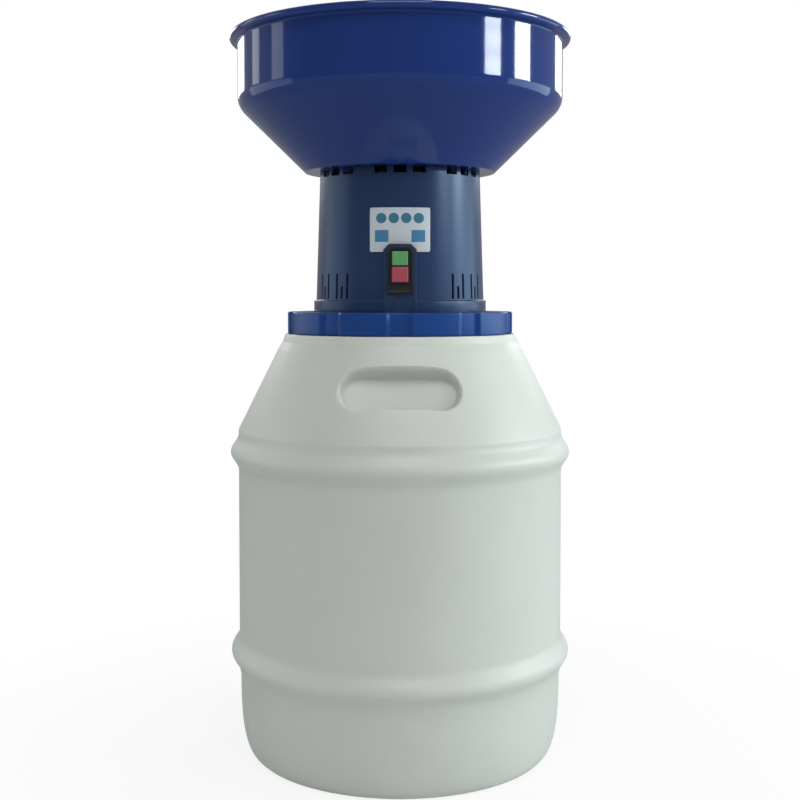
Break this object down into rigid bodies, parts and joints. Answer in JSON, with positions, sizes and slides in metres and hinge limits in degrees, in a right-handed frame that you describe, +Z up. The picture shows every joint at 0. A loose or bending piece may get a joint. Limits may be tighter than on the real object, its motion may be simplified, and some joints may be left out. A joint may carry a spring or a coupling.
{
  "type": "electric grain mill",
  "caption": "Free-standing electric grain mill: flared hopper on a vented motor housing with start and stop buttons, held by a ring nut on a moulded flour barrel.",
  "frame": {"origin": "centre of the flat foot of the barrel", "axes": "+Z up through the barrel, motor and hopper; the front with the switch faces -Y; the feed duct is on the -X side"},
  "size_m": [0.404, 0.404, 0.8484],
  "materials": {
    "barrel_plastic": "satin, slightly translucent blow-moulded polyethylene",
    "hopper_plastic": "glossy navy blue",
    "housing_plastic": "semi-gloss grey-blue",
    "ring_plastic": "semi-gloss mid blue",
    "plate_plastic": "moulded dark blue",
    "black_plastic": "moulded black",
    "green_plastic": "moulded green",
    "red_plastic": "moulded red",
    "label_film": "printed film, bare of words",
    "soft_rubber": "matte black rubber",
    "zinc_steel": "zinc plated",
    "bright_steel": "ground steel",
    "laminated_steel": "stacked laminations",
    "cast_aluminium": "die cast",
    "copper": "enamelled copper",
    "carbon": "pressed carbon",
    "cream_plastic": "moulded cream"
  },
  "bodies": {
    "barrel": {"barrel": "barrel_plastic"},
    "head": {"rim_gasket": "soft_rubber", "base_plate": "plate_plastic", "housing_shell": "housing_plastic", "hopper": "hopper_plastic", "feed_duct": "black_plastic", "hopper_screw_1": "zinc_steel", "hopper_screw_2": "zinc_steel", "hopper_screw_3": "zinc_steel", "hopper_screw_4": "zinc_steel", "base_screw_1": "zinc_steel", "base_screw_2": "zinc_steel", "base_screw_3": "zinc_steel", "base_screw_4": "zinc_steel", "switch_body": "black_plastic", "label_plate": "label_film", "cable_gland": "black_plastic", "gland_nut": "black_plastic", "terminal_block": "cream_plastic", "shutter_pivot_screw": "zinc_steel", "stator_core": "laminated_steel", "field_coil_right": "copper", "field_coil_left": "copper", "motor_bracket_lower": "cast_aluminium", "motor_bracket_upper": "cast_aluminium", "bearing_lower": "bright_steel", "bearing_upper": "bright_steel", "brush_holder_front": "cast_aluminium", "brush_holder_back": "cast_aluminium", "carbon_brush_front": "carbon", "carbon_brush_back": "carbon", "motor_bolt_1": "zinc_steel", "motor_bolt_2": "zinc_steel", "motor_bolt_3": "zinc_steel", "motor_bolt_4": "zinc_steel", "sieve_band": "bright_steel", "sieve_disc": "zinc_steel", "sieve_stud_1": "zinc_steel", "sieve_stud_2": "zinc_steel", "sieve_stud_3": "zinc_steel", "wing_nut_1": "zinc_steel", "wing_nut_2": "zinc_steel", "wing_nut_3": "zinc_steel"},
    "ring_nut": {"ring_nut": "ring_plastic"},
    "rotor": {"rotor_shaft": "bright_steel", "armature_core": "laminated_steel", "armature_winding": "copper", "commutator": "copper", "cooling_fan": "black_plastic", "blade_sleeve": "zinc_steel", "hammer_blade": "bright_steel", "blade_nut": "zinc_steel"},
    "shutter": {"shutter_plate": "zinc_steel", "shutter_knob": "black_plastic"},
    "start_button": {"start_button": "green_plastic"},
    "stop_button": {"stop_button": "red_plastic"}
  },
  "joints": [
    {"name": "head_lift", "type": "slide", "parent": "barrel", "child": "head", "axis": [0, 0, 1], "range_m": [0, 0.15]},
    {"name": "ring_nut_turn", "type": "hinge", "parent": "head", "child": "ring_nut", "pos_m": [0, 0, 0.511], "axis": [0, 0, 1], "range_deg": [0, 360]},
    {"name": "rotor_spin", "type": "hinge", "parent": "head", "child": "rotor", "pos_m": [0, 0, 0.58], "axis": [0, 0, 1], "continuous": true},
    {"name": "shutter_turn", "type": "hinge", "parent": "head", "child": "shutter", "pos_m": [-0.0365, 0, 0.6935], "axis": [0, 0, 1], "range_deg": [0, 60]},
    {"name": "start_button_press", "type": "slide", "parent": "head", "child": "start_button", "axis": [0, 1, 0], "range_m": [0, 0.003], "stiffness_N_per_m": 400},
    {"name": "stop_button_press", "type": "slide", "parent": "head", "child": "stop_button", "axis": [0, 1, 0], "range_m": [0, 0.003], "stiffness_N_per_m": 400}
  ]
}
